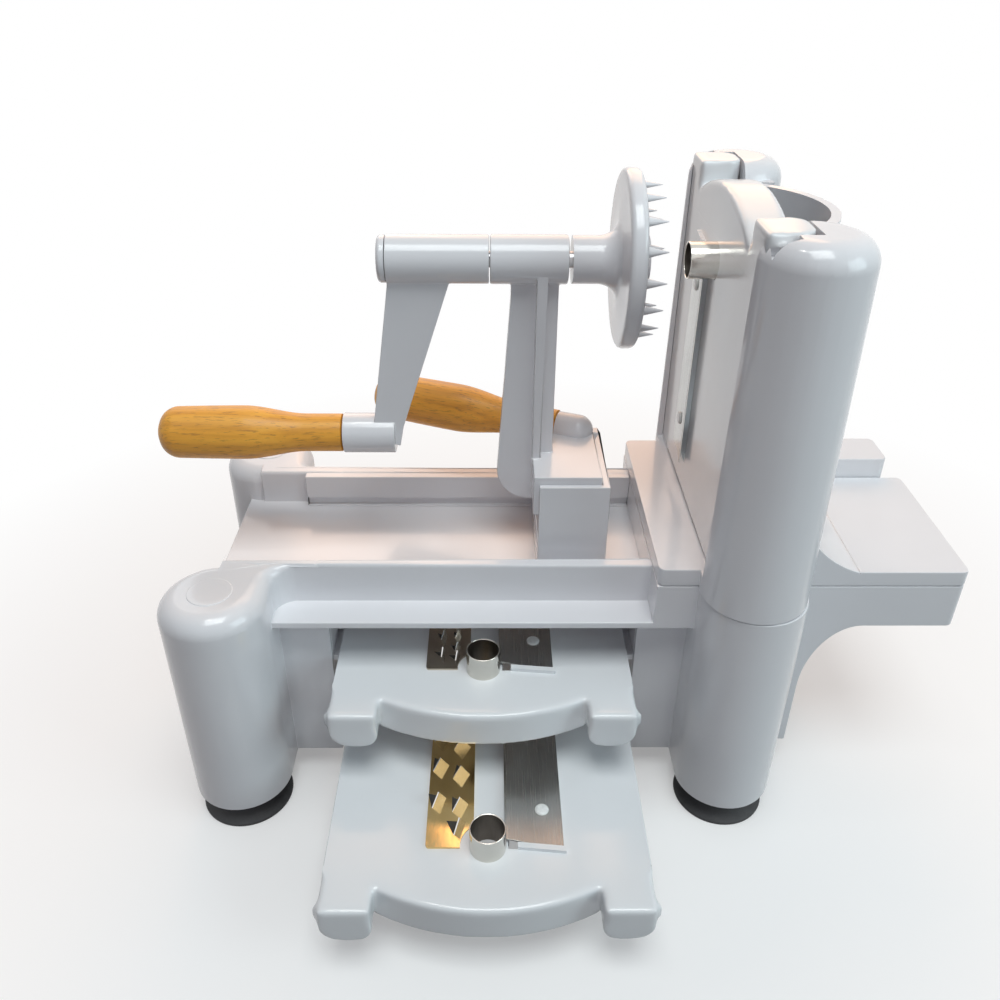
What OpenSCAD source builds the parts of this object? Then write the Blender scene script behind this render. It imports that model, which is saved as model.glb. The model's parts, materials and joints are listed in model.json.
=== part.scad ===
// Hand-cranked spiral slicer: base, tower, sliding carriage, crank, three blade plates.
// Millimetres. Z up, X along the travel of the carriage,
// origin on the table under the middle of the overall box.

/* [Base] */
// distance between left and right legs, centre to centre
leg_span_x = 209; // [190:1:230]
// distance between front and rear leg centres
leg_span_y = 112; // [100:1:124]
// radius of each leg
leg_r = 20.4; // [18:0.1:22]
// height of the rail top above the table
deck_z = 112; // [106:1:120]
// height of the sliding bed
bed_z = 96; // [90:1:100]
// outside half width over the rails
rail_y = 38.5; // [36:0.5:40]
// wall thickness of the mouldings
wall = 3; // [2.4:0.1:3.4]
// half width of the blade compartment
bay_x = 63.6; // [63:0.1:66]

/* [Tower] */
// height of the tower top above the table
tower_z = 250.6; // [246:0.2:262]
// front face of the blade plate, along X
face_x = 86.4; // [86:0.1:88]
// height of the crank axis above the table
axis_z = 224; // [220:1:228]
// right end of the output tray
tray_x = 198; // [185:1:210]

/* [Carriage and crank] */
// crank throw, axis to grip axis
throw = 72.5; // [68:0.5:74]
// radius of the spiked wheel
wheel_r = 32.5; // [30:0.5:34]
// radius of the drive shaft
shaft_r = 3; // [2.5:0.1:3.4]
// angle of the push handle in plan
push_deg = 22; // [20:0.5:26]
// largest radius of the crank grip
grip_r = 11; // [10:0.1:11.5]
// largest radius of the push grip
push_r = 10.6; // [9.8:0.1:10.8]

/* [Blade plates] */
// width of a blade plate
plate_w = 121; // [118:0.5:121]
// thickness of a blade plate
plate_t = 4; // [3.4:0.1:4.2]
// outside radius of the steel core ring
core_r = 6.9; // [6.4:0.1:7.2]
// how far the core ring stands out of the plate
core_h = 10.5; // [9:0.5:11]
// height of the upper stored plate
upper_z = 70; // [68:0.5:72]
// height of the lower stored plate
lower_z = 35.5; // [33.5:0.5:37.5]
// how far the upper plate is drawn out, ring axis to mid plane
upper_out = 53; // [50:1:60]
// how far the lower plate is drawn out, ring axis to mid plane
lower_out = 112.5; // [104:0.5:115]
// how far the lower plate lies off the middle of its rack
lower_x = 2; // [0:0.1:2.2]

/* [Fits] */
// running clearance of the shaft, on the radius
run_clear = 0.05; // [0.03:0.01:0.09]
// clearance of sliding plastic parts
slide_clear = 0.4; // [0.3:0.05:0.6]

/* [Hidden] */
$fn = 64;
leg_x = leg_span_x / 2;
leg_y = leg_span_y / 2;
foot_top = 12;
skirt_z = 13;
ledge_z = bed_z - 2;
leg_in = rail_y - 2;
beam_x0 = 67.7;
beam_y = leg_y - 3.4;
beam_top = deck_z + 8;
split = 0.2;
pil_x0 = leg_x - leg_r;
pil_x1 = leg_x + leg_r;
back_x = face_x + plate_t + 0.2;
horn_d = 16.5;
horn_x = face_x + horn_d + 0.6;
slot_y = plate_w / 2 + slide_clear;
post_x = 21.7;
hub_x0 = -38.8;
house_x0 = 2.6;
house_x1 = 31.5;
wheel_x = 33;
grip_z = axis_z - throw;
car_x0 = 22.4;
car_x1 = 50.7;
car_y = 26;
car_top = 140.6;
ins_top = 143.6;
bush_r = 5;
stud_r = 2.5;
boss_x0 = -57.2;
bow_r = 91.1;
bow_v = 27;
horn_v = 27;
horn_r = 5.8;
horn_s = 8;
horn_u = 41.3;
blade_n = 88;
stud_v = [-16, -76];
grip_n = 75.3;
tower_cx = leg_x - 0.8;
tower_r1 = leg_r - 1.6;
hood_z = 244;
plate_drop = axis_z - beam_top - 1;
strip_cut = core_r + 3.6;
nub = [36.5, 18.5, ins_top + 0.6];
push_neck = 7;
home_x = (tray_x + boss_x0 - grip_n - 0.05) / 2;
home_y = (leg_y + leg_r - lower_out - horn_v) / 2;

// Box from one corner to the opposite corner.
module span(a, b) {
  translate(a)
    cube([b[0] - a[0], b[1] - a[1], b[2] - a[2]]);
}

// Round bar along X.
module bar_x(r, x0, x1, y, z) {
  translate([x0, y, z])
    rotate([0, 90, 0])
      cylinder(r = r, h = x1 - x0);
}

// Half profile with a rounded top outer edge, for turning or pulling.
module edge_profile(r, h, f) {
  square([r, h - f]);
  square([r - f, h]);
  translate([r - f, h - f])
    circle(r = f);
}

// Round column with a web on its right to the inner plane, rounded top edge of radius f.
module leg_block(r, inner, h, f)
  intersection() {
    union() {
      rotate_extrude()
        edge_profile(r, h, f);
      translate([0, leg_y - inner, 0])
        rotate([90, 0, 0])
          linear_extrude(leg_y - inner)
            edge_profile(r, h, f);
    }
    span([-r - 1, -r - 1, -1], [r + 1, leg_y - inner, h + 1]);
  }

// Same plan with square edges; its web starts at x0.
module leg_core(r, inner, h, x0)
  intersection() {
    union() {
      cylinder(r = r, h = h);
      span([x0, 0, 0], [r, leg_y - inner, h]);
    }
    span([-r - 1, -r - 1, -1], [r + 1, leg_y - inner, h + 1]);
  }

// One leg at the front, standing on the foot plane; the rear ones are mirrored.
module leg(top, f) {
  difference() {
    translate([0, -leg_y, foot_top])
      if (f > 0)
        leg_block(leg_r, leg_in, top - foot_top, f);
      else
        leg_core(leg_r, leg_in, top - foot_top, -leg_r);
    difference() {
      translate([0, -leg_y, foot_top - 1])
        leg_core(leg_r - wall, leg_in + wall, 85, f > 0 ? wall : wall - leg_r);
      translate([0, -leg_y, foot_top - 2])
        cylinder(r = 7, h = 90);
    }
    translate([0, -leg_y, foot_top - 1])
      cylinder(r = 3 + run_clear, h = 11);
  }
}

module both_sides() {
  children();
  mirror([0, 1, 0])
    children();
}

// Puts the middle of the overall box over the origin.
module home()
  translate([-home_x, -home_y, 0])
    children();

module base_shell() color([0.93, 0.93, 0.94]) {
  difference() {
    union() {
      both_sides() {
        translate([-leg_x, 0, 0])
          leg(deck_z, 8);
        translate([leg_x, 0, 0])
          leg(deck_z, 0);
        // rail wall, ledge and the two skirt panels of one side
        span([-leg_x, -rail_y, ledge_z - wall], [beam_x0 + 4, -rail_y + 4, deck_z]);
        span([-leg_x + 10, -beam_y, ledge_z - wall], [beam_x0 + 4, -rail_y, ledge_z]);
        span([-leg_x + 10, -rail_y - 4.5, skirt_z], [-bay_x, -rail_y - 1.5, ledge_z - 1]);
        span([bay_x, -rail_y - 4.5, skirt_z], [leg_x - 10, -rail_y - 1.5, ledge_z - 1]);
      }
      // sliding bed and left end wall
      span([-leg_x - 7, -rail_y, bed_z - wall], [leg_x, rail_y, bed_z]);
      span([-leg_x - 7, -rail_y, skirt_z], [-leg_x - 4, rail_y, bed_z]);
      // lower half of the cross beam
      span([beam_x0, -beam_y, ledge_z - wall], [pil_x0 + 5, beam_y, deck_z]);
    }
    // the beam is hollow from below
    span([beam_x0 + wall, -beam_y + wall, ledge_z - 5], [pil_x0 + 2, beam_y - wall, deck_z - wall]);
    // seats of the round caps
    both_sides()
      translate([-leg_x, -leg_y, deck_z - 1.4])
        cylinder(r = 8.9, h = 3);
    // holes for the tower screws
    both_sides()
      for (dx = [-11, 11])
        translate([leg_x + dx, -leg_y + 6, 80])
          cylinder(r = 2.1, h = 40);
  }
}

module suction_feet() color([0.22, 0.22, 0.23])
  both_sides()
    for (sx = [-leg_x, leg_x])
      translate([sx, -leg_y, 0])
        rotate_extrude()
          polygon([[0, 7], [7, 5], [14, 1.6], [18, 0], [19, 0], [19, 1.2], [12.5, 6], [9, foot_top],
            [3, foot_top], [3, foot_top + 9], [0, foot_top + 9]]);

module leg_caps() color([0.95, 0.95, 0.96])
  both_sides()
    translate([-leg_x, -leg_y, deck_z - 1.4])
      cylinder(r = 8.6, h = 1.7);

// Strip with a groove for the tongue of the slider, front side.
module guide_strip(top) {
  difference() {
    span([-83, -rail_y + 4, bed_z], [beam_x0, -rail_y + 8, top]);
    span([-90, -rail_y + 6, bed_z + 0.6], [beam_x0 + 5, -rail_y + 9, bed_z + 4.8]);
  }
}

module front_guide_strip() color([0.93, 0.93, 0.94])
  guide_strip(deck_z - 4);

module rear_guide_strip() color([0.93, 0.93, 0.94])
  mirror([0, 1, 0])
    guide_strip(deck_z);

// Rack on the right: side wall with shelves and hold-down ribs for the stored plates.
module storage_rack() {
  span([bay_x, -rail_y - 1.5, skirt_z], [bay_x + 2.6, rail_y + 1.5, ledge_z - wall]);
  for (z = [upper_z, lower_z]) {
    span([bay_x - 8, -rail_y - 1.5, z - plate_t - 2.9], [bay_x + 1, rail_y + 1.5, z - plate_t - 0.1]);
    span([bay_x - 6, -rail_y + 16, z + 0.5], [bay_x + 1, rail_y + 1.5, z + 3]);
  }
}

module right_storage_rack() color([0.92, 0.92, 0.93])
  storage_rack();

module left_storage_rack() color([0.92, 0.92, 0.93])
  mirror([1, 0, 0])
    storage_rack();

// One tower pillar at the front, before its slots are cut.
module pillar() {
  h = tower_z - deck_z - split;
  f = 9;
  translate([tower_cx, -leg_y, deck_z + split])
    rotate_extrude() {
      polygon([[0, 0], [leg_r, 0], [tower_r1, h - f], [0, h - f]]);
      square([tower_r1 - f, h]);
      intersection() {
        translate([tower_r1 - f, h - f])
          circle(r = f);
        translate([0, h - f - 0.1])
          square([leg_r, f + 1]);
      }
    }
  span([horn_x, -leg_y, deck_z + split], [pil_x1 - 10, -36, hood_z]);
}

module tower_frame() color([0.94, 0.94, 0.95])
  difference() {
    union() {
      both_sides()
        pillar();
      // upper half of the cross beam, with rounded corners, and the sill under the plate
      span([beam_x0, -beam_y + 3, deck_z + split], [pil_x0 + 4, beam_y - 3, beam_top]);
      span([beam_x0 + 3, -beam_y, deck_z + split], [pil_x0 + 4, beam_y, beam_top]);
      both_sides()
        translate([beam_x0 + 3, -beam_y + 3, deck_z + split])
          cylinder(r = 3, h = beam_top - deck_z - split);
      span([pil_x0, -beam_y + 3, deck_z + split], [back_x + wall, beam_y - 3, beam_top]);
      // curved hood behind the plate
      intersection() {
        difference() {
          translate([face_x, 0, 176])
            cylinder(r = 41, h = hood_z - 176);
          translate([face_x, 0, 170])
            cylinder(r = 37.5, h = 90);
        }
        span([horn_x, -40, 170], [140, 40, hood_z + 1]);
      }
    }
    // slot for the plate, open face, recess for the horns and tabs
    span([face_x - 0.2, -slot_y, beam_top + 0.8], [back_x, slot_y, tower_z + 5]);
    span([pil_x0 - 5, -slot_y + 4, beam_top], [face_x, slot_y - 4, tower_z + 5]);
    span([face_x - 0.2, -slot_y, axis_z + 7], [horn_x, slot_y, tower_z + 5]);
    span([face_x + 0.8, -slot_y - 3.7, axis_z + 20], [face_x + 9.2, slot_y + 3.7, tower_z + 5]);
    // pilot holes of the tower screws
    both_sides()
      for (dx = [-11, 11])
        translate([leg_x + dx, -leg_y + 6, deck_z - 5])
          cylinder(r = 1.9, h = 20);
  }

module tower_screws() color([0.7, 0.7, 0.72])
  both_sides()
    for (dx = [-11, 11])
      translate([leg_x + dx, -leg_y + 6, 0]) {
        translate([0, 0, 93])
          cylinder(r = 3.6, h = 3);
        translate([0, 0, 96])
          cylinder(r = 1.9, h = 30);
      }

// Output tray: top skin with the curved slide.
module tray_top() color([0.94, 0.94, 0.95])
  difference() {
    translate([0, rail_y - 0.5, 0])
      rotate([90, 0, 0])
        linear_extrude(2 * rail_y - 1)
          polygon([[back_x + wall + 0.3, deck_z + split], [back_x + wall + 0.3, 150], [125, 134.4],
            [152.5, 134.4], [152.5, 108], [tray_x, 108], [tray_x, 101],
            [125.5, 101], [125.5, deck_z + split]]);
    intersection() {
      translate([165.5, 50, 148.85])
        rotate([90, 0, 0])
          cylinder(r = 43, h = 100, $fn = 128);
      span([90, -50, 100], [152.6, 50, 160]);
    }
    // clear of the pillars inside the tower
    both_sides()
      span([face_x, -45, 90], [pil_x1 + 0.5, -leg_y + leg_r + 0.3, 160]);
    // hollow from below
    span([back_x + 2 * wall, -33, 90], [122, 33, 130]);
    span([130, -33, 90], [150, 33, 104.5]);
  }

module tray_underside() color([0.93, 0.93, 0.94])
  difference() {
    translate([0, rail_y - 0.5, 0])
      rotate([90, 0, 0])
        linear_extrude(2 * rail_y - 1)
          polygon(concat([[pil_x1 + 0.3, skirt_z], [138, skirt_z]],
            [for (i = [0 : 20]) [160 - 22 * cos(4.5 * i), 46 + 34 * sin(4.5 * i)]],
            [[tray_x, 80], [tray_x, 101 - split], [pil_x1 + 0.3, 101 - split]]));
    span([100, -rail_y + wall, 10], [135, rail_y - wall, 110]);
    span([130, -rail_y + wall, 84], [tray_x - wall, rail_y - wall, 110]);
  }

// Raised bar along the rear of the tray.
module rear_ledge() color([0.94, 0.94, 0.95])
  span([pil_x1 + 0.05, rail_y, 100], [190, leg_y + 3.5, 117.6]);

// Room around the push handle, from s along its axis.
module push_room(s)
  translate(nub)
    rotate([0, -90, -push_deg])
      translate([0, 0, s])
        cylinder(r = push_neck + 0.9, h = 30 - s);

module carriage_slider() color([0.93, 0.93, 0.94]) {
  difference() {
    span([car_x0, -car_y, bed_z + 6], [car_x1, car_y, car_top]);
    span([car_x0 - 5, -car_y + 2.6, 110], [car_x1 - 3, car_y - 2.6, car_top + 5]);
    push_room(-12);
  }
  // shoe with tongues that run in the guide strips
  span([car_x0, -rail_y + 8 + slide_clear, bed_z + slide_clear],
    [car_x1, rail_y - 8 - slide_clear, bed_z + 6.5]);
  span([car_x0 + 1, -rail_y + 6 + slide_clear, bed_z + 1],
    [car_x1 - 1, rail_y - 6 - slide_clear, bed_z + 4.4]);
}

module carriage_post() color([0.94, 0.94, 0.95])
  difference() {
    union() {
      // block that drops into the slider, with its lid
      span([car_x0 + 0.4, -car_y + 2.8, 110.3], [car_x1 - 3.2, car_y - 2.8, ins_top]);
      span([car_x0 - 2.2, -car_y + 2.8, 126], [car_x1 - 3.2, car_y - 2.8, ins_top]);
      // web, cross rib and bearing housing
      translate([0, 2.5, 0])
        rotate([90, 0, 0])
          linear_extrude(5) {
            polygon([[10.4, axis_z], [10.4, 210], [5.6, 135], [19.6, 121], [28.5, 121], [28.5, axis_z]]);
            intersection() {
              translate([19.6, 135])
                circle(r = 14, $fn = 96);
              translate([5, 120])
                square([23.5, 30]);
            }
          }
      span([post_x - 1.7, -8, ins_top - 2], [post_x + 1.7, 8, axis_z - 2]);
      bar_x(9, house_x0, house_x1, 0, axis_z);
      // socket of the push handle
      translate(nub)
        rotate([0, -90, -push_deg]) {
          translate([0, 0, -4.5])
            cylinder(r = 6.6, h = 9);
          translate([0, 0, -4.5])
            sphere(r = 6.6);
        }
    }
    bar_x(bush_r, house_x0 - 1, house_x1 + 1, 0, axis_z);
    push_room(4.6);
    translate(nub)
      rotate([0, -90, -push_deg])
        translate([0, 0, -6])
          cylinder(r = stud_r, h = 20);
  }

module shaft_bushings() color([0.75, 0.6, 0.35])
  for (x = [house_x0, house_x1 - 8])
    difference() {
      bar_x(bush_r, x, x + 8, 0, axis_z);
      bar_x(shaft_r + run_clear, x - 1, x + 9, 0, axis_z);
    }

module push_stud() color([0.7, 0.7, 0.72])
  translate(nub)
    rotate([0, -90, -push_deg])
      translate([0, 0, -6])
        cylinder(r = stud_r, h = 70);

// Turned grip: neck radius a, belly radius b, length n, with a round end.
module grip_solid(a, b, n) {
  rotate_extrude()
    polygon(concat([[0, 0], [a, 0]],
      [for (i = [0 : 16]) [a + (b - a) * (1 - cos(180 * i / 16)) / 2, n * (0.2 + 0.34 * i / 16)]],
      [for (i = [0 : 10]) [b - 0.35 - 7.6 * (1 - cos(9 * i)), n - 8.2 + 8.2 * sin(9 * i)]],
      [[0, n]]));
}

module push_grip() color([0.72, 0.45, 0.16])
  translate(nub)
    rotate([0, -90, -push_deg])
      translate([0, 0, 4.7])
        difference() {
          grip_solid(push_neck, push_r, 88);
          translate([0, 0, -1])
            cylinder(r = stud_r, h = 61);
        }

module drive_shaft() color([0.7, 0.7, 0.72])
  bar_x(shaft_r, -30, wheel_x + 13, 0, axis_z);

module spiked_wheel() color([0.94, 0.94, 0.95])
  translate([wheel_x, 0, axis_z])
    rotate([0, 90, 0]) {
      difference() {
        rotate_extrude($fn = 128)
          union() {
            difference() {
              polygon([[0, 0], [8.8, 0], [8.8, 11], [15, 17.2], [15, 21], [0, 21]]);
              translate([15, 11])
                circle(r = 6.2);
            }
            translate([0, 18.5])
              square([wheel_r - 1, 3]);
            translate([wheel_r - 3, 17.3])
              square([2, 6.1]);
            translate([wheel_r - 2, 17.3])
              square([2, 4.6]);
            translate([wheel_r - 1.5, 21.9])
              circle(r = 1.5);
            translate([7.7, 20])
              square([1.8, 8]);
          }
        translate([0, 0, -1])
          cylinder(r = shaft_r, h = 14);
      }
      for (k = [0 : 17])
        rotate(20 * k)
          translate([wheel_r - 5.2, 0, 21])
            cylinder(r1 = 2, r2 = 0.25, h = 10, $fn = 24);
      for (k = [0 : 9])
        rotate(36 * k + 10)
          translate([18, 0, 21])
            cylinder(r1 = 2, r2 = 0.25, h = 10, $fn = 24);
    }

module crank_arm() color([0.94, 0.94, 0.95])
  difference() {
    union() {
      bar_x(8.9, hub_x0 + 3, house_x0 - 0.4, 0, axis_z);
      translate([0, 4.5, 0])
        rotate([90, 0, 0])
          linear_extrude(9)
            polygon([[hub_x0 + 3, axis_z], [hub_x0 + 3, axis_z - 9], [-45.2, grip_z], [-34, grip_z - 4],
              [-32.6, grip_z + 4], [-12, axis_z - 6], [-12, axis_z]]);
      bar_x(8.2, boss_x0, -36, 0, grip_z);
    }
    bar_x(shaft_r, -30, house_x0 + 2, 0, axis_z);
    bar_x(stud_r, boss_x0 - 1, -40, 0, grip_z);
  }

module crank_cap() color([0.95, 0.95, 0.96])
  translate([hub_x0 + 2.8, 0, axis_z])
    rotate([0, -90, 0])
      rotate_extrude()
        edge_profile(8.7, 3, 1.5);

module grip_bolt() color([0.7, 0.7, 0.72]) {
  bar_x(stud_r, boss_x0 - 70, -40, 0, grip_z);
  bar_x(4.6, boss_x0 - 73, boss_x0 - 70, 0, grip_z);
}

module crank_grip() color([0.74, 0.48, 0.18])
  translate([boss_x0 - 0.3, 0, grip_z])
    rotate([0, -90, 0])
      difference() {
        grip_solid(7.75, grip_r, grip_n);
        translate([0, 0, -1])
          cylinder(r = stud_r + run_clear, h = 90);
        translate([0, 0, grip_n - 5.7])
          cylinder(r = 4.9, h = 10);
      }

// Blade plate lying on its back: u to the right along X, handle toward +Y, blade side up, ring at the origin.
module plate_body() {
  hw = plate_w / 2;
  difference() {
    union() {
      span([-hw, -plate_drop, -plate_t], [hw, 12, 0]);
      intersection() {
        translate([0, bow_v - bow_r, -plate_t])
          cylinder(r = bow_r, h = plate_t, $fn = 192);
        span([-41.5, 5, -10], [41.5, 40, 5]);
      }
      // grip lip under the bow
      intersection() {
        translate([0, bow_v - bow_r, -15.5])
          difference() {
            cylinder(r = bow_r, h = 15.5, $fn = 192);
            translate([0, 0, -1])
              cylinder(r = bow_r - 3, h = 20, $fn = 192);
          }
        span([-41.5, 5, -20], [41.5, 40, 0]);
      }
      // two horns with their tabs
      for (s = [-1, 1])
        scale([s, 1, 1]) {
          translate([0, horn_v, 0])
            rotate([90, 0, 0])
              linear_extrude(horn_v - 9) {
                translate([horn_u, horn_r - horn_d])
                  square([horn_r + 1, horn_d - horn_r]);
                translate([horn_u + horn_r, -horn_d])
                  square([hw - horn_u - horn_r - horn_s, horn_d]);
                translate([hw - horn_s - 1, horn_s - horn_d])
                  square([horn_s + 1, horn_d - horn_s]);
                translate([horn_u + horn_r, horn_r - horn_d])
                  circle(r = horn_r);
                translate([hw - horn_s, horn_s - horn_d])
                  circle(r = horn_s);
              }
          translate([0, 0, -8.2])
            linear_extrude(6.2)
              polygon([[hw - 1, horn_v - 6], [hw, horn_v - 6], [hw + 2.3, horn_v - 4.6],
                [hw + 2.3, horn_v - 2.6], [hw - 1, horn_v - 2.6]]);
        }
      // raised bar in front of the blade, slightly askew
      translate([0, 0, -1])
        linear_extrude(2.6)
          polygon([[-11.3, -1], [-11.3, 1.3], [-29.4, 3.2], [-29.4, 0.9]]);
    }
    // core hole and the slot under the cutting edge
    translate([0, 0, -plate_t - 1])
      cylinder(r = core_r, h = plate_t + 5);
    span([-16, -blade_n - 3, -plate_t - 1], [-8.2, -2.6, 2]);
    span([-11.3, -3, -plate_t - 1], [-7.7, 1, 2]);
    for (v = stud_v)
      translate([-21, v, -plate_t - 1])
        cylinder(r = 1.5, h = 10);
  }
}

module plate_core_ring()
  difference() {
    translate([0, 0, -plate_t])
      cylinder(r = core_r, h = plate_t + core_h);
    translate([0, 0, -plate_t - 1])
      cylinder(r = core_r - 0.6, h = plate_t + core_h + 2);
  }

// Straight blade, slightly proud of the plate, sharpened along the side toward the ring.
module plate_blade()
  difference() {
    translate([0, 1, 0])
      rotate([90, 0, 0])
        linear_extrude(blade_n + 3.4)
          polygon([[-28.6, 0.05], [-28.6, 1.05], [-17, 1.05], [-7.6, 2.5],
            [-6.4, 2.2], [-8.3, 1.7], [-17, 0.05]]);
    // front end parallel to the bar, and room for the ring
    translate([-6.4, -1.7, -1])
      rotate([0, 0, -5.9])
        span([-30, 0, 0], [5, 10, 6]);
    translate([0, 0, -1])
      cylinder(r = core_r + 0.2, h = 6);
    for (v = stud_v)
      translate([-21, v, -1])
        cylinder(r = 1.5, h = 5);
  }

module plate_rivets()
  for (v = stud_v)
    translate([-21, v, 0]) {
      translate([0, 0, -plate_t])
        cylinder(r = 1.5, h = plate_t + 1.1);
      translate([0, 0, 1.05])
        cylinder(r1 = 2.7, r2 = 1.8, h = 0.9);
    }

// Flat strip with pointed teeth bent upright, at even steps of radius, each along its own circle.
module tooth_strip(first, step, base, high, far) {
  difference() {
    span([5.4, -blade_n - 2.4, 0.05], [23.4, 0.8, 0.85]);
    translate([0, 0, -1])
      cylinder(r = strip_cut, h = 4);
  }
  for (k = [0 : floor((blade_n - 4 - first) / step)]) {
    r = first + k * step;
    u = k > 0 && k % 2 == 0 ? far : 10.8;
    v = -sqrt(r * r - u * u);
    translate([u, v, 0.8])
      rotate([90, 0, atan2(v, u) + 90])
        linear_extrude(0.6, center = true)
          polygon([[-base / 2, 0], [base / 2, 0], [0, high]]);
  }
}

module in_tower()
  translate([face_x, 0, axis_z])
    rotate([90, 0, -90])
      children();

module in_upper()
  translate([0, -upper_out, upper_z])
    rotate([0, 0, 180])
      children();

module in_lower()
  translate([lower_x, -lower_out, lower_z])
    rotate([0, 0, 180])
      children();

module tower_plate() color([0.93, 0.93, 0.95])
  in_tower()
    plate_body();

module tower_core_ring() color([0.75, 0.73, 0.68])
  in_tower()
    plate_core_ring();

module tower_blade() color([0.75, 0.75, 0.76])
  in_tower()
    plate_blade();

module tower_rivets() color([0.8, 0.8, 0.8])
  in_tower()
    plate_rivets();

module upper_plate() color([0.93, 0.93, 0.95])
  in_upper()
    plate_body();

module upper_core_ring() color([0.75, 0.73, 0.68])
  in_upper()
    plate_core_ring();

module upper_blade() color([0.75, 0.75, 0.76])
  in_upper()
    plate_blade();

module upper_tooth_strip() color([0.76, 0.7, 0.55])
  in_upper()
    tooth_strip(12.2, 3.15, 3.2, 4.2, 16.8);

module upper_rivets() color([0.8, 0.8, 0.8])
  in_upper()
    plate_rivets();

module lower_plate() color([0.93, 0.93, 0.95])
  in_lower()
    plate_body();

module lower_core_ring() color([0.75, 0.73, 0.68])
  in_lower()
    plate_core_ring();

module lower_blade() color([0.75, 0.75, 0.76])
  in_lower()
    plate_blade();

module lower_tooth_strip() color([0.76, 0.7, 0.55])
  in_lower()
    tooth_strip(13.2, 7.15, 7.2, 6.3, 19.2);

module lower_rivets() color([0.8, 0.8, 0.8])
  in_lower()
    plate_rivets();

home() base_shell();
home() suction_feet();
home() leg_caps();
home() front_guide_strip();
home() rear_guide_strip();
home() left_storage_rack();
home() right_storage_rack();
home() tower_frame();
home() tray_top();
home() tray_underside();
home() rear_ledge();
home() tower_screws();
home() carriage_slider();
home() carriage_post();
home() shaft_bushings();
home() push_stud();
home() push_grip();
home() drive_shaft();
home() spiked_wheel();
home() crank_arm();
home() crank_cap();
home() grip_bolt();
home() crank_grip();
home() tower_plate();
home() tower_core_ring();
home() tower_blade();
home() tower_rivets();
home() upper_plate();
home() upper_core_ring();
home() upper_blade();
home() upper_tooth_strip();
home() upper_rivets();
home() lower_plate();
home() lower_core_ring();
home() lower_blade();
home() lower_tooth_strip();
home() lower_rivets();
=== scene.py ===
# %% [markdown]
# # A hand-cranked spiral slicer
# The kitchen machine stands on four legs. A carriage slides along its bed and
# pushes a vegetable, turned by a crank, against a blade plate held in a tower.
# This lesson loads the machine's solid model as a fixed frame, then gives each
# piece its moulded edges, turned wood, steel and plastic.

# %% Load the frame
import json
import math

import bmesh
import bpy
from mathutils import Matrix, Vector


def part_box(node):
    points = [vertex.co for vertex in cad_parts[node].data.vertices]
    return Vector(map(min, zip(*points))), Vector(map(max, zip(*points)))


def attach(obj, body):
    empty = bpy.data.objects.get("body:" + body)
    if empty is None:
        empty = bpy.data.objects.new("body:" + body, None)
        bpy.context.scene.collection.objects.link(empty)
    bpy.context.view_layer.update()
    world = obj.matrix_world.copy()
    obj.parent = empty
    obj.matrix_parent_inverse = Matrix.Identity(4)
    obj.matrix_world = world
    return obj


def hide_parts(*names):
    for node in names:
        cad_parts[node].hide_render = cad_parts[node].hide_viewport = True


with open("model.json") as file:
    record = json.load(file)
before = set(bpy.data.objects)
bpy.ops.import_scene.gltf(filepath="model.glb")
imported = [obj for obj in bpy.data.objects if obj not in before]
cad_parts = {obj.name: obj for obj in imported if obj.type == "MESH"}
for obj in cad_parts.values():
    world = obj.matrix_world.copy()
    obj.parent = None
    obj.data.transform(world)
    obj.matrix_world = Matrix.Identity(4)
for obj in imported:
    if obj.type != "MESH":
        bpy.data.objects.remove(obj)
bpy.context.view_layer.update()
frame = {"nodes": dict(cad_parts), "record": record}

MM = 0.001
body_of = {n: b for b, ns in frame["record"]["behaviour"]["bodies"].items() for n in ns}
foot_low, foot_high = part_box("suction_feet")
home = Vector(((foot_low.x + foot_high.x) / 2, (foot_low.y + foot_high.y) / 2, 0))

# %% [markdown]
# ## Camera
# The photograph was taken from above the front of the machine.
# The eye point, the tilt and the focal length below come from fitting straight
# edges and circles of the machine, so the same parts fall on the same places.

# %% Place the camera
eye = home + Vector((0.00279, -0.33287, 0.32684))
turn, down, lean = math.radians(-0.836), math.radians(31.902), math.radians(0.509)
camera_data = bpy.data.cameras.new("camera")
camera_data.lens = 32.71
camera_data.sensor_width = 36
camera_data.shift_x = -0.0015
camera_data.shift_y = -0.0018
camera_data.clip_start = 0.01
camera = bpy.data.objects.new("camera", camera_data)
bpy.context.scene.collection.objects.link(camera)
camera.matrix_world = (Matrix.Translation(eye) @ Matrix.Rotation(turn, 4, "Z")
                       @ Matrix.Rotation(math.pi / 2 - down, 4, "X")
                       @ Matrix.Rotation(lean, 4, "Z"))
bpy.context.scene.camera = camera
bpy.context.scene.view_settings.view_transform = "Standard"
print("camera at", [round(v, 3) for v in eye], "lens", camera_data.lens)

# %% [markdown]
# ## Building materials from nodes
# Every finish is a small network: a coordinate, a pattern, a ramp that turns
# the pattern into colour, and the same pattern sent to roughness and bump.
# A helper that adds one node with its values keeps each recipe short.

# %% Material helpers
def add(tree, kind, settings=None, **values):
    made = tree.nodes.new(kind)
    for key, value in (settings or {}).items():
        setattr(made, key, value)
    for key, value in values.items():
        made.inputs[key.replace("_", " ")].default_value = value
    return made


def new_finish(name):
    material = bpy.data.materials.new(name)
    material.use_nodes = True
    tree = material.node_tree
    return material, tree, tree.nodes["Principled BSDF"]


def stretched(tree, scale, rotation=(0, 0, 0)):
    """Object coordinates, turned and stretched."""
    where = add(tree, "ShaderNodeTexCoord")
    mapping = add(tree, "ShaderNodeMapping", Scale=scale, Rotation=rotation)
    tree.links.new(where.outputs["Object"], mapping.inputs["Vector"])
    return mapping.outputs["Vector"]


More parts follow.
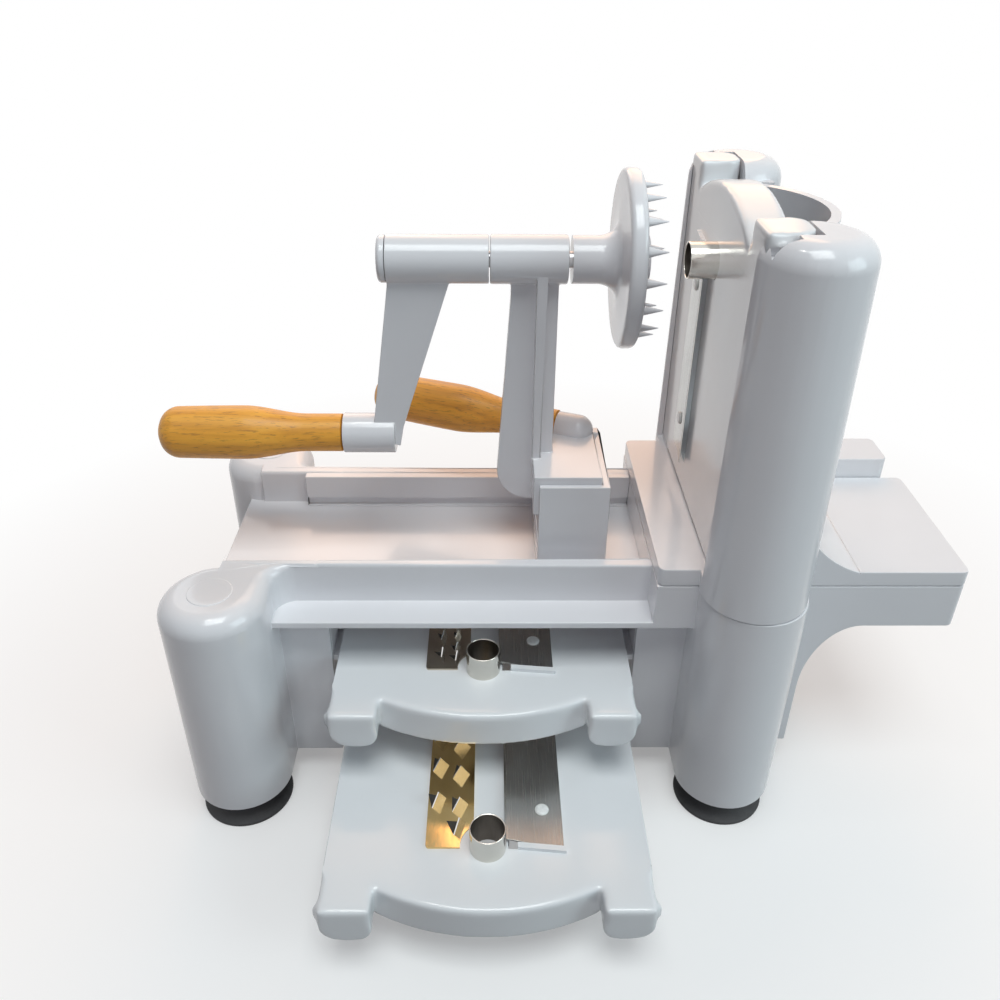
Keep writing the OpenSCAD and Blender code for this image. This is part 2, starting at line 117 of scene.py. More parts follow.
def pattern(tree, vector, scale, detail=3.0, rough=0.5):
    made = add(tree, "ShaderNodeTexNoise", Scale=scale, Detail=detail, Roughness=rough)
    tree.links.new(vector, made.inputs["Vector"])
    return made.outputs["Fac"]


def colours(tree, factor, stops):
    ramp = add(tree, "ShaderNodeValToRGB")
    marks = ramp.color_ramp.elements
    for mark, (place, colour) in ((marks[0], stops[0]), (marks[1], stops[-1])):
        mark.position, mark.color = place, (*colour, 1)
    for place, colour in stops[1:-1]:
        marks.new(place).color = (*colour, 1)
    tree.links.new(factor, ramp.inputs["Fac"])
    return ramp.outputs["Color"]


def spread(tree, factor, low, high, start=0.3, end=0.7):
    """Map a pattern onto a range of numbers."""
    made = add(tree, "ShaderNodeMapRange")
    for socket, value in (("From Min", start), ("From Max", end), ("To Min", low), ("To Max", high)):
        made.inputs[socket].default_value = value
    tree.links.new(factor, made.inputs["Value"])
    return made.outputs["Result"]


def bumped(tree, shader, height, strength, distance):
    bump = add(tree, "ShaderNodeBump", Strength=strength, Distance=distance)
    tree.links.new(height, bump.inputs["Height"])
    tree.links.new(bump.outputs["Normal"], shader.inputs["Normal"])

# %% [markdown]
# ## White moulded plastic
# The body is glossy white plastic. Moulded plastic is never quite even: it
# drifts slightly in tone, has a faint orange-peel ripple, and gets hazy where
# hands wipe it. Three noises of different sizes give those three effects.

# %% White plastic
def white_plastic(name, pale, deep):
    shine = 0.17
    material, tree, shader = new_finish(name)
    here = stretched(tree, (1, 1, 1))
    drift = pattern(tree, here, 16, 4)
    haze = pattern(tree, here, 70, 5, 0.6)
    ripple = pattern(tree, here, 420, 2)
    tree.links.new(colours(tree, drift, [(0.3, deep), (0.7, pale)]), shader.inputs["Base Color"])
    tree.links.new(spread(tree, haze, shine - 0.03, shine + 0.04), shader.inputs["Roughness"])
    bumped(tree, shader, ripple, 0.012, 0.0002)
    shader.inputs["IOR"].default_value = 1.46
    shader.inputs["Coat Weight"].default_value = 0.15
    shader.inputs["Coat Roughness"].default_value = 0.08
    return material


plastic = white_plastic("white_plastic", (0.80, 0.80, 0.825), (0.775, 0.775, 0.80))
plate_plastic = white_plastic("plate_plastic", (0.78, 0.80, 0.82), (0.757, 0.777, 0.797))
print("finishes:", plastic.name, plate_plastic.name)

# %% [markdown]
# ## Turned wood
# Both grips are turned from a pale, close-grained wood and varnished to a honey
# colour. The grain runs along the grip, so a noise is squeezed hard along that
# direction. A second, finer one gives the short dark flecks of the pores.

# %% Honey wood
def honey_wood(name, grain_turn):
    material, tree, shader = new_finish(name)
    along = stretched(tree, (1, 1, 1), (0, 0, grain_turn))
    split = add(tree, "ShaderNodeMapping", Scale=(0.05, 1, 1))
    tree.links.new(along, split.inputs["Vector"])
    fibre = add(tree, "ShaderNodeMapping", Scale=(0.11, 1, 1))
    tree.links.new(along, fibre.inputs["Vector"])
    bands = pattern(tree, split.outputs["Vector"], 420, 4, 0.5)
    pores = pattern(tree, fibre.outputs["Vector"], 1500, 3, 0.6)
    tone = colours(tree, bands, [(0.25, (0.6, 0.245, 0.025)), (0.5, (0.82, 0.37, 0.038)),
                                 (0.75, (0.92, 0.46, 0.06))])
    fleck = spread(tree, pores, 0.0, 1.0, 0.56, 0.66)
    mixed = add(tree, "ShaderNodeMix", {"data_type": "RGBA"})
    mixed_inputs = {s.identifier: s for s in mixed.inputs}
    mixed_inputs["B_Color"].default_value = (0.34, 0.14, 0.025, 1)
    share = add(tree, "ShaderNodeMath", {"operation": "MULTIPLY"})
    share.inputs[1].default_value = 0.62
    tree.links.new(fleck, share.inputs[0])
    tree.links.new(share.outputs[0], mixed_inputs["Factor_Float"])
    tree.links.new(tone, mixed_inputs["A_Color"])
    result = next(s for s in mixed.outputs if s.identifier == "Result_Color")
    tree.links.new(result, shader.inputs["Base Color"])
    tree.links.new(spread(tree, bands, 0.4, 0.55), shader.inputs["Roughness"])
    bumped(tree, shader, pores, 0.16, 0.0003)
    shader.inputs["Coat Weight"].default_value = 0.12
    shader.inputs["Coat Roughness"].default_value = 0.2
    return material


PUSH_TURN = math.radians(22)  # the push grip's turn, seen from above
crank_wood = honey_wood("crank_grip_wood", 0.0)
push_wood = honey_wood("push_grip_wood", PUSH_TURN)
print("finishes:", crank_wood.name, push_wood.name)

# %% [markdown]
# ## Steel
# The blades are ground in one direction, the core rings are polished tube and
# the punched strips are warmer in tone. Painted light goes in here too: the near-black insides of the rings
# are painted shade, the darker upper strip is painted dark reflection, and the paler teeth are painted
# highlight. One recipe with a direction for its
# scratches serves them all: long thin noise in the roughness and in the bump.

# %% Steel
def ground_steel(name, pale, deep, scratch, low, high, depth=0.1):
    material, tree, shader = new_finish(name)
    lines = pattern(tree, stretched(tree, scratch), 900, 3, 0.6)
    clouds = pattern(tree, stretched(tree, (1, 1, 1)), 60, 3)
    tree.links.new(colours(tree, clouds, [(0.3, deep), (0.7, pale)]), shader.inputs["Base Color"])
    tree.links.new(spread(tree, lines, low, high), shader.inputs["Roughness"])
    bumped(tree, shader, lines, depth, 0.0002)
    shader.inputs["Metallic"].default_value = 1.0
    return material


blade_tones = (0.47, 0.465, 0.45), (0.39, 0.385, 0.37)
strip_lines = (1, 0.2, 1), 0.1, 0.18, 0.03
blade_steel = ground_steel("blade_steel", *blade_tones, (3.4, 0.05, 3.4), 0.2, 0.3, 0.05)
tower_steel = ground_steel("tower_blade_steel", *blade_tones, (3.4, 3.4, 0.05), 0.2, 0.3, 0.05)
strip_steel = ground_steel("gold_strip_steel", (0.78, 0.58, 0.28), (0.66, 0.46, 0.19), *strip_lines)
# darker, greyer steel for the upper strip: painted dark reflection of the shaded parts above it
grey_strip_painted_reflection = ground_steel("grey_strip_painted_reflection", (0.56, 0.50, 0.42), (0.44, 0.38, 0.31), *strip_lines)
# pale steel for the teeth, though they are bent out of the strips themselves: painted highlight on their
# raised faces
tooth_steel = ground_steel("tooth_steel", (0.84, 0.83, 0.81), (0.76, 0.75, 0.73), (2, 2, 0.2), 0.12, 0.22,
                           0.03)
# near-black steel for the inside of the core tubes: painted shade and dark reflection, as the tube is one
# polished steel throughout
ring_inside_painted_shade = ground_steel("ring_inside_painted_shade", (0.17, 0.15, 0.13), (0.09, 0.08, 0.07), (1, 1, 0.1), 0.35, 0.55)
ring_steel = ground_steel("ring_steel", (0.72, 0.7, 0.66), (0.6, 0.58, 0.53), (1, 1, 0.1), 0.08, 0.2, 0.04)
rod_steel = ground_steel("rod_steel", (0.6, 0.6, 0.62), (0.48, 0.48, 0.5), (0.05, 1, 1), 0.25, 0.42)
bronze = ground_steel("bushing_bronze", (0.6, 0.42, 0.2), (0.46, 0.31, 0.13), (1, 1, 1), 0.3, 0.5)
print("finishes: steel and bronze")

# %% [markdown]
# ## Rubber, punched holes and heat-staked studs
# Three small finishes remain: dull black rubber for the feet, near-black painted
# shade for the holes of the punched teeth, and milky plastic for the melted studs.

# %% Small finishes
def dull_finish(name, pale, deep, low, high, grain):
    material, tree, shader = new_finish(name)
    grit = pattern(tree, stretched(tree, (1, 1, 1)), grain, 4, 0.6)
    tree.links.new(colours(tree, grit, [(0.3, deep), (0.7, pale)]), shader.inputs["Base Color"])
    tree.links.new(spread(tree, grit, low, high), shader.inputs["Roughness"])
    bumped(tree, shader, grit, 0.12, 0.0003)
    return material


rubber = dull_finish("foot_rubber", (0.05, 0.05, 0.053), (0.028, 0.028, 0.03), 0.55, 0.75, 500)
# near-black for the holes of the teeth: painted shade, as the real holes are open
hole_painted_shade = dull_finish("tooth_hole_painted_shade", (0.03, 0.027, 0.022), (0.012, 0.011, 0.01), 0.5, 0.8, 900)
stud_plastic = dull_finish("stud_plastic", (0.86, 0.87, 0.86), (0.7, 0.71, 0.7), 0.12, 0.26, 700)
print("finishes:", rubber.name, hole_painted_shade.name, stud_plastic.name)

# %% [markdown]
# ## Handing a mesh over
# Each new piece rides on the body of the node that it stands for. One helper
# makes the object, shades it smooth except at real corners, weights the normals
# by face area so that flat walls stay flat, hides the nodes that it replaces and hangs it on their body.

# %% Helpers for pieces
def shade(mesh, corner=40):
    bm = bmesh.new()
    bm.from_mesh(mesh)
    for face in bm.faces:
        face.smooth = True
    for edge in bm.edges:
        edge.smooth = len(edge.link_faces) == 2 and edge.calc_face_angle(0) < math.radians(corner)
    bm.to_mesh(mesh)
    bm.free()


def settled(obj):
    """Apply an object's modifiers and return the plain mesh."""
    bpy.context.view_layer.update()
    graph = bpy.context.evaluated_depsgraph_get()
    mesh = bpy.data.meshes.new_from_object(obj.evaluated_get(graph), preserve_all_data_layers=True,
                                           depsgraph=graph)
    bpy.data.objects.remove(obj)
    return mesh


def linked(mesh, name):
    obj = bpy.data.objects.new(name, mesh)
    bpy.context.scene.collection.objects.link(obj)
    return obj


def hand_over(mesh, name, nodes, finish=None, corner=40, beside=None):
    """Make the piece; it replaces the nodes, or only rides along beside one."""
    if finish:
        mesh.materials.clear()
        mesh.materials.append(finish)
    shade(mesh, corner)
    draft = linked(mesh, name + ".draft")
    weigh = draft.modifiers.new("normals", "WEIGHTED_NORMAL")
    weigh.keep_sharp = True
    weigh.weight = 80
    piece = linked(settled(draft), name)
    if nodes:
        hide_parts(*nodes)
    host = beside or nodes[0]
    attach(piece, body_of[host])
    print(name, len(piece.data.polygons), "faces")

# %% [markdown]
# ## Mouldings with softened edges
# Real mouldings have no knife edges. A copy of the solid's mesh is merged and
# its flat triangles are dissolved, then every true corner is bevelled. Corners
# that the mould rounds more strongly are picked by place and bevelled first.

# %% The edge softener
WELD = 4e-6  # points closer than this are one point, in metres
FLAT = math.radians(0.4)  # faces that turn less than this are one face
CORNER = math.radians(34)  # edges that turn more than this can get a bevel


def made_mesh(bm, name):
    """Turn a finished bmesh into a mesh."""
    mesh = bpy.data.meshes.new(name)
    bm.to_mesh(mesh)
    bm.free()
    return mesh


def sliced(bm, point, way):
    """Take off all that lies beyond a point in one direction, and close the cut."""
    everything = bm.verts[:] + bm.edges[:] + bm.faces[:]
    bmesh.ops.bisect_plane(bm, geom=everything, plane_co=point, plane_no=way, clear_outer=True)
    bmesh.ops.holes_fill(bm, edges=[edge for edge in bm.edges if edge.is_boundary], sides=0)


def merged(node, cut=None):
    """Merged copy of a node's mesh; a cut is a point and the direction in which all beyond it goes."""
    bm = bmesh.new()
    bm.from_mesh(frame["nodes"][node].data)
    bmesh.ops.remove_doubles(bm, verts=bm.verts, dist=WELD)
    if cut:
        sliced(bm, *cut)
    bmesh.ops.dissolve_limit(bm, angle_limit=FLAT, verts=bm.verts, edges=bm.edges)
    return bm


def bevelled(bm, edges, radius, steps):
    bmesh.ops.bevel(bm, geom=edges, offset=radius * MM, segments=steps, profile=0.5, affect="EDGES",
                    offset_type="OFFSET", clamp_overlap=False)


def softened(node, small, picks=(), into=Matrix.Translation(-home), cut=None):
    """Bevel a node's picked corners, then all others by the small radius, if it isn't 0."""
    # a cut is made 1 mm too far out first, so that the ends of the bevels fall away with the rest
    bm = merged(node, cut and (cut[0] + cut[1] * MM, cut[1]))

    def corners(test=None):
        found = []
        for edge in bm.edges:
            if len(edge.link_faces) == 2 and edge.calc_face_angle(0) > CORNER:
                middle = into @ ((edge.verts[0].co + edge.verts[1].co) / 2) / MM
                way = into.to_3x3() @ (edge.verts[1].co - edge.verts[0].co).normalized()
                if test is None or test(middle, way):
                    found.append(edge)
        return found

    for radius, steps, test in picks:
        bevelled(bm, corners(test), radius, steps)
        bmesh.ops.remove_doubles(bm, verts=bm.verts, dist=WELD)
    if small:
        bevelled(bm, corners(), small, 2)
    if cut:
        sliced(bm, *cut)
    return made_mesh(bm, node + "_soft")


def upright(way):
    return abs(way.z) > 0.9

# %% Base and its strips
# places are in millimetres from the middle between the legs
DECK = 112  # top of the rails and the left legs
RAIL_EDGE = 1.2  # radius of a rail's upper edges
rail_start, rail_end = -92, 66
rail_y, rail_reach = 36.5, 2.2  # middle line of a rail, and a little more than half its width


def on_rail(p, way):
    along = abs(way.x) > 0.99 and rail_start < p.x < rail_end
    return along and abs(p.z - DECK) < 0.1 and abs(abs(p.y) - rail_y) < rail_reach


hand_over(softened("base_shell", 0.5, [(RAIL_EDGE, 3, on_rail)]), "base_moulding", ["base_shell"], plastic)
for node, radius in (("front_guide_strip", 0.35), ("rear_guide_strip", 0.35),
                     ("left_storage_rack", 0.3), ("right_storage_rack", 0.3)):
    hand_over(softened(node, radius), node + "_moulding", [node], plastic)

# %% [markdown]
# ## Shoulders of the left legs
# The head of each left leg flows into the rail in one hollow sweep, and its
# rounded top edge thins out along the sweep. A bevel keeps one radius, so the
# plan is drawn here as a loop of points, each with its own edge radius, and
# stacked rings follow the loop up the wall and over the edge.

# %% Plan of a shoulder
def ease(t):
    t = min(max(t, 0.0), 1.0)
    return t * t * (3 - 2 * t)


LEG_X, LEG_Y = 104.5, 56  # from the middle between the legs to the axis of each
leg_r, hollow_r = 20.44, 9  # radius of the shoulder, and of its sweep into the rail
rail_outer, rail_inner = 38.54, 34.45  # walls of the rail
tail_x, tail_length = -66, 35  # where the shoulder ends on the rail, and its straight inner side


def shoulder_plan():
    """Points (x, y, edge radius), anticlockwise round the front left leg."""
    plan = []
    for k in range(11):
        plan.append((tail_x - tail_length * k / 10, -rail_inner - 1.1 * k / 10,
                     RAIL_EDGE + 5.8 * ease(k / 10 - 0.2)))
    for k in range(2, 55):
        angle = math.radians(90 + 5 * k)
        plan.append((-LEG_X + leg_r * math.cos(angle), -LEG_Y + leg_r * math.sin(angle),
                     7 + ease((k - 2) / 8)))
    flank = leg_r - LEG_X
    plan += [(flank, -54, 7.6), (flank, -51, 7.0), (flank, -48.5, 6.4)]
    for k in range(13):
        angle = math.radians(180 - 7.5 * k)
        plan.append((flank + hollow_r * (1 + math.cos(angle)), -rail_outer - hollow_r * (1 - math.sin(angle)),
                     6.2 - 5.0 * ease(k / 12)))
    return plan + [(x, -rail_outer, RAIL_EDGE) for x in (-72, -69, tail_x)]

# %% Leg shoulders
wall_low, wall_high = 93.7, 99.0  # foot of the wall, which is tucked in a little, and where it is full
tuck, proud = 0.12, 0.04  # the top stands proud of the deck, so that no two faces lie in one plane


def shoulder_mesh(flip):
    plan = shoulder_plan()
    total = len(plan)
    bm = bmesh.new()

    def ring(inset, height):
        verts = []
        for k, (x, y, edge) in enumerate(plan):
            before, after = Vector(plan[k - 1][:2]), Vector(plan[(k + 1) % total][:2])
            way = (after - before).normalized()
            spot = Vector((x, y)) + Vector((-way.y, way.x)) * inset(edge)
            verts.append(bm.verts.new((home.x + spot.x * MM, home.y + spot.y * MM * flip, height(edge) * MM)))
        return verts

    rings = [ring(lambda f: tuck, lambda f: wall_low), ring(lambda f: 0.0, lambda f: wall_high)]
    for k in range(10):
        turn_over = math.pi / 2 * k / 9
        rings.append(ring(lambda f: f * (1 - math.cos(turn_over)),
                          lambda f: DECK + proud - f + f * math.sin(turn_over)))
    for low, high in zip(rings, rings[1:]):
        for k in range(total):
            j = (k + 1) % total
            bm.faces.new((low[k], low[j], high[j], high[k]))
    bm.faces.new(rings[-1])
    bm.faces.new(rings[0][::-1])
    bmesh.ops.recalc_face_normals(bm, faces=bm.faces)
    return made_mesh(bm, "shoulder")


for side, flip in (("front", 1), ("rear", -1)):
    hand_over(shoulder_mesh(flip), side + "_leg_shoulder", [], plastic, 40, "base_shell")

# %% Tower and tray
hood_z = 172  # above this, the edges of the hood stay crisp
tray_x, ledge_x = 197, 189  # upright corners to the right of these are outer ones
below_hood = (0.6, 2, lambda p, way: p.z < hood_z)
tray_corner = (3.0, 6, lambda p, way: p.x > tray_x and upright(way))
ledge_corner = (3.0, 5, lambda p, way: p.x > ledge_x and upright(way))
hand_over(softened("tower_frame", 0, [below_hood]), "tower_moulding", ["tower_frame"], plastic)
hand_over(softened("tray_top", 0.6, [tray_corner]), "tray_skin", ["tray_top"], plastic)
hand_over(softened("tray_underside", 0.6, [tray_corner]), "tray_tub", ["tray_underside"], plastic)
hand_over(softened("rear_ledge", 0.8, [ledge_corner]), "rear_bar", ["rear_ledge"], plastic)

# %% Carriage and crank
# edges stay crisp where round and flat forms meet at a slant, since a bevel would fold over itself there
tongue_z = 98.4
boss_y, boss_low, boss_high = 4, 120, 160
off_tongues = (0.6, 2, lambda p, way: abs(p.z - tongue_z) > 2)
off_boss = (0.6, 2, lambda p, way: p.y < boss_y or p.z < boss_low or p.z > boss_high)
hand_over(softened("carriage_slider", 0, [off_tongues]), "slider_moulding", ["carriage_slider"], plastic)
hand_over(softened("carriage_post", 0, [off_boss]), "post_moulding", ["carriage_post"], plastic)
hand_over(softened("crank_arm", 0.4), "crank_moulding", ["crank_arm"], plastic)
hand_over(softened("crank_cap", 0.3), "crank_end_cap", ["crank_cap"], plastic)

# %% [markdown]
# ## Blade plates
# The three plates are one moulding in three places, so each place is a matrix
# from the plate's own axes: u across, v toward its handle, n out of its face.
# The flat sheet has plain edges, and a bevel is enough. The handle's bow, horns
# and tabs run into each other in soft rounds that no bevel can follow, so the
# handle is cut off, remeshed as a fine skin and relaxed: flat walls stay, and
# corners melt. A vertex group holds the seam still and spares the lower edges.

# %% Blade plates and blades
AXIS_Z = 224  # height of the crank's axis
SEAM = 8  # from a plate's core ring to where its handle starts
plate_places = {
    "tower": Matrix.Translation((86.4 * MM, 0, AXIS_Z * MM)) @ Matrix.Rotation(-math.pi / 2, 4, "Z")
    @ Matrix.Rotation(math.pi / 2, 4, "X"),
    "upper": Matrix.Translation((0, -53 * MM, 70 * MM)) @ Matrix.Rotation(math.pi, 4, "Z"),
    "lower": Matrix.Translation((2 * MM, -112.5 * MM, 35.5 * MM)) @ Matrix.Rotation(math.pi, 4, "Z"),
}
plate_places = {which: Matrix.Translation(home) @ place for which, place in plate_places.items()}


def at_seam(place, toward):
    """The cut between a plate's sheet and its handle; what lies toward 1, the handle, or -1 goes."""
    return place @ Vector((0, SEAM * MM, 0)), place.to_3x3() @ Vector((0, toward, 0))


def handle_skin(node, place):
    """A plate's handle as a close-meshed skin, with its corners relaxed into rounds."""
    bm = merged(node, at_seam(place, -1))
    bm.transform(place.inverted())
    draft = linked(made_mesh(bm, node + "_handle"), node + "_handle.draft")
    skin = draft.modifiers.new("skin", "REMESH")
    skin.mode = "VOXEL"
    skin.voxel_size = 0.5 * MM
    draft = linked(settled(draft), node + "_handle.draft")
    free = draft.vertex_groups.new(name="free")
    # still as far as 2 mm past the seam, fully free 3 mm further on, and less free low down
    for vertex in draft.data.vertices:
        past, high = vertex.co.y / MM - SEAM, vertex.co.z / MM
        free.add([vertex.index], ease((past - 2) / 3) * (0.3 + 0.7 * ease((high + 11) / 6)), "REPLACE")
    relax = draft.modifiers.new("relax", "SMOOTH")
    relax.factor = 0.5
    relax.iterations = 110
    relax.vertex_group = "free"
    mesh = settled(draft)
    mesh.transform(place)
    return mesh


# the rims of the slots beside the core ring stay crisp
sheet_rim = (0.5, 2, lambda p, way: p.y < SEAM - 0.1 and not (abs(p.x) < 31 and p.y > -6))
for which, place in plate_places.items():
    node = which + "_plate"
    sheet = softened(node, 0, [sheet_rim], place.inverted(), at_seam(place, 1))
    hand_over(sheet, node + "_moulding", [node], plate_plastic)
    hand_over(handle_skin(node, place), node + "_handle", [], plate_plastic, 60, node)
    hand_over(softened(which + "_blade", 0.12), which + "_blade_ground", [which + "_blade"],
              tower_steel if which == "tower" else blade_steel)

# %% [markdown]
# ## Turned pieces
# Grips, rings, caps, feet and the wheel are all round. A lathe helper spins a
# list of radius and length pairs about an axis. The profile starts and ends on
# the axis, or closes on itself, so that the solid is watertight.

# %% The lathe
def lathe(profile, steps=96, closed=False):
    """Spin radius and length pairs about Z."""
    bm = bmesh.new()
    rings = []
    angles = [2 * math.pi * k / steps for k in range(steps)]
    for radius, length in profile:
        if radius < 1e-6:
            rings.append([bm.verts.new((0, 0, length * MM))])
            continue
        reach = radius * MM
        rings.append([bm.verts.new((reach * math.cos(angle), reach * math.sin(angle), length * MM))
                      for angle in angles])
    pairs = list(zip(rings, rings[1:])) + ([(rings[-1], rings[0])] if closed else [])
    for a, b in pairs:
        for k in range(steps):
            j = (k + 1) % steps
            corners = [a[k % len(a)], a[j % len(a)], b[j % len(b)], b[k % len(b)]]
            corners = list(dict.fromkeys(corners))
            if len(corners) > 2:
                bm.faces.new(corners)
    bmesh.ops.recalc_face_normals(bm, faces=bm.faces)
    return made_mesh(bm, "turned")


def placed(mesh, matrix):
    mesh.transform(matrix)
    return mesh


def rounded(points, radius, steps=5):
    """Round the inner corners of a profile."""
    out = [points[0]]
    for before, here, after in zip(points, points[1:], points[2:]):
        p, a, b = Vector(here), Vector(before), Vector(after)
        r = min(radius, (a - p).length * 0.45, (b - p).length * 0.45)
        start, end = p + (a - p).normalized() * r, p + (b - p).normalized() * r
        for k in range(steps + 1):
            t = k / steps
            out.append(tuple((1 - t) ** 2 * start + 2 * t * (1 - t) * p + t * t * end))
    return out + [points[-1]]

# %% Wooden grips
def grip_profile(neck, belly, length):
    """Outside of a grip, from its neck to its round end."""
    outside = [(neck - 0.6, 0.0), (neck, 0.5)]
    for k in range(25):
        t = k / 24
        outside.append((neck + (belly - neck) * ease(t), length * (0.2 + 0.34 * t)))
    outside += [(belly, length * 0.6), (belly - 0.1, length * 0.72), (belly - 0.35, length - 8.2)]
    for k in range(1, 13):
        angle = math.pi / 2 * k / 12
        outside.append((belly - 0.35 - 7.6 * (1 - math.cos(angle)), length - 8.2 + 7.8 * math.sin(angle)))
    return outside


crank_low, crank_high = (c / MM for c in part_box("crank_grip"))
crank_length = crank_high.x - crank_low.x
crank_axis = Vector((crank_high.x, (crank_low.y + crank_high.y) / 2, (crank_low.z + crank_high.z) / 2))
bolt_bore, head_bore, head_floor = 2.56, 4.9, crank_length - 5.7
profile = [(bolt_bore, 0.0)] + grip_profile(7.75, 11.0, crank_length)
profile += [(head_bore, crank_length - 0.5), (head_bore, head_floor), (bolt_bore, head_floor)]
to_crank = Matrix.Translation(crank_axis * MM) @ Matrix.Rotation(-math.pi / 2, 4, "Y")
hand_over(placed(lathe(profile, closed=True), to_crank), "crank_grip_turned", ["crank_grip"], crank_wood, 50)
print("crank grip", round(crank_length, 1), "mm long")

# %% Push grip
push_length, stud_bore, stud_depth = 88.0, 2.5, 60.0
push_start, push_gap = home / MM + Vector((36.5, 18.5, 144.2)), 4.7
push_way = Matrix.Rotation(-PUSH_TURN, 4, "Z") @ Matrix.Rotation(-math.pi / 2, 4, "Y")
profile = [(0, stud_depth), (stud_bore, stud_depth), (stud_bore, 0.0)]
profile += grip_profile(7.0, 10.6, push_length) + [(0, push_length - 0.4)]
to_push = Matrix.Translation(push_start * MM) @ push_way @ Matrix.Translation((0, 0, push_gap * MM))
hand_over(placed(lathe(profile), to_push), "push_grip_turned", ["push_grip"], push_wood, 50)

# %% Core rings
ring_in, ring_out, ring_foot = 6.3, 6.9, -4.0


def ring_mesh():
    tube = [(ring_in, ring_foot), (ring_out, ring_foot), (ring_out, 10.2), (6.75, 10.45), (6.6, 10.5),
            (6.4, 10.4), (ring_in, 10.15)]
    mesh = lathe(tube, 96, closed=True)
    mesh.materials.append(ring_steel)
    mesh.materials.append(ring_inside_painted_shade)
    # the faces inside the tube take the near-black steel: painted shade
    for face in mesh.polygons:
        face.material_index = int(face.center.to_2d().length < (ring_in + 0.02) * MM)
    return mesh


for which, place in plate_places.items():
    hand_over(placed(ring_mesh(), place), which + "_core_tube", [which + "_core_ring"], None, 50)

# %% [markdown]
# ## Repeats with Geometry Nodes
# Spikes, teeth, studs and feet repeat, so each is one small mesh set out on
# points by a node tree. The tree takes its sizes as named inputs, ends in
# Realize Instances and Set Material, and its result is turned into a plain mesh.

# %% Node tree helpers
def new_tree(name, sizes):
    tree = bpy.data.node_groups.new(name, "GeometryNodeTree")
    tree.interface.new_socket("Geometry", in_out="INPUT", socket_type="NodeSocketGeometry")
    tree.interface.new_socket("Geometry", in_out="OUTPUT", socket_type="NodeSocketGeometry")
    for label, kind in sizes:
        tree.interface.new_socket(label, in_out="INPUT", socket_type=kind)
    return tree, tree.nodes.new("NodeGroupInput"), tree.nodes.new("NodeGroupOutput")


def run_tree(tree, name, values):
    obj = linked(bpy.data.meshes.new(name), name + ".draft")
    modifier = obj.modifiers.new("repeat", "NODES")
    modifier.node_group = tree
    for item in tree.interface.items_tree:
        if item.item_type == "SOCKET" and item.in_out == "INPUT" and item.name in values:
            modifier[item.identifier] = values[item.name]
    return settled(obj)

# %% A ring of spikes
def spike_ring_tree():
    tree, given, result = new_tree("spike_ring", [
        ("Count", "NodeSocketInt"), ("Radius", "NodeSocketFloat"), ("Height", "NodeSocketFloat"),
        ("Base", "NodeSocketFloat"), ("Thin", "NodeSocketFloat"), ("Finish", "NodeSocketMaterial")])
    link = tree.links.new
    circle = tree.nodes.new("GeometryNodeMeshCircle")
    spike = tree.nodes.new("GeometryNodeMeshCone")
    spike.inputs["Vertices"].default_value = 12
    spike.inputs["Radius Top"].default_value = 0.00016
    slim = tree.nodes.new("GeometryNodeTransform")
    scale = tree.nodes.new("ShaderNodeCombineXYZ")
    scale.inputs["Y"].default_value = 1
    scale.inputs["Z"].default_value = 1
    index = tree.nodes.new("GeometryNodeInputIndex")
    share = tree.nodes.new("ShaderNodeMath")
    share.operation = "DIVIDE"
    angle = tree.nodes.new("ShaderNodeMath")
    angle.operation = "MULTIPLY"
    angle.inputs[1].default_value = 2 * math.pi
    spin = tree.nodes.new("ShaderNodeCombineXYZ")
    euler = tree.nodes.new("FunctionNodeEulerToRotation")
    put = tree.nodes.new("GeometryNodeInstanceOnPoints")
    real = tree.nodes.new("GeometryNodeRealizeInstances")
    paint = tree.nodes.new("GeometryNodeSetMaterial")
    link(given.outputs["Count"], circle.inputs["Vertices"])
    link(given.outputs["Radius"], circle.inputs["Radius"])
    link(given.outputs["Base"], spike.inputs["Radius Bottom"])
    link(given.outputs["Height"], spike.inputs["Depth"])
    link(spike.outputs["Mesh"], slim.inputs["Geometry"])
    link(given.outputs["Thin"], scale.inputs["X"])
    link(scale.outputs["Vector"], slim.inputs["Scale"])
    link(index.outputs["Index"], share.inputs[0])
    link(given.outputs["Count"], share.inputs[1])
    link(share.outputs[0], angle.inputs[0])
    link(angle.outputs[0], spin.inputs["Z"])
    link(spin.outputs["Vector"], euler.inputs["Euler"])
    link(circle.outputs["Mesh"], put.inputs["Points"])
    link(slim.outputs["Geometry"], put.inputs["Instance"])
    link(euler.outputs["Rotation"], put.inputs["Rotation"])
    link(put.outputs["Instances"], real.inputs["Geometry"])
    link(real.outputs["Geometry"], paint.inputs["Geometry"])
    link(given.outputs["Finish"], paint.inputs["Material"])
    link(paint.outputs["Geometry"], result.inputs["Geometry"])
    return tree


spikes = spike_ring_tree()
one_spike = {"Height": 10.1 * MM, "Base": 2.7 * MM, "Thin": 0.8, "Finish": plastic}
outer_spikes = run_tree(spikes, "outer_spikes", {"Count": 16, "Radius": 27.2 * MM, **one_spike})
inner_spikes = run_tree(spikes, "inner_spikes", {"Count": 9, "Radius": 17.6 * MM, **one_spike})
print("spikes:", len(outer_spikes.polygons) + len(inner_spikes.polygons), "faces")

# %% The spiked wheel
def joined(meshes, name):
    bm = bmesh.new()
    for mesh in meshes:
        bm.from_mesh(mesh)
    return made_mesh(bm, name)


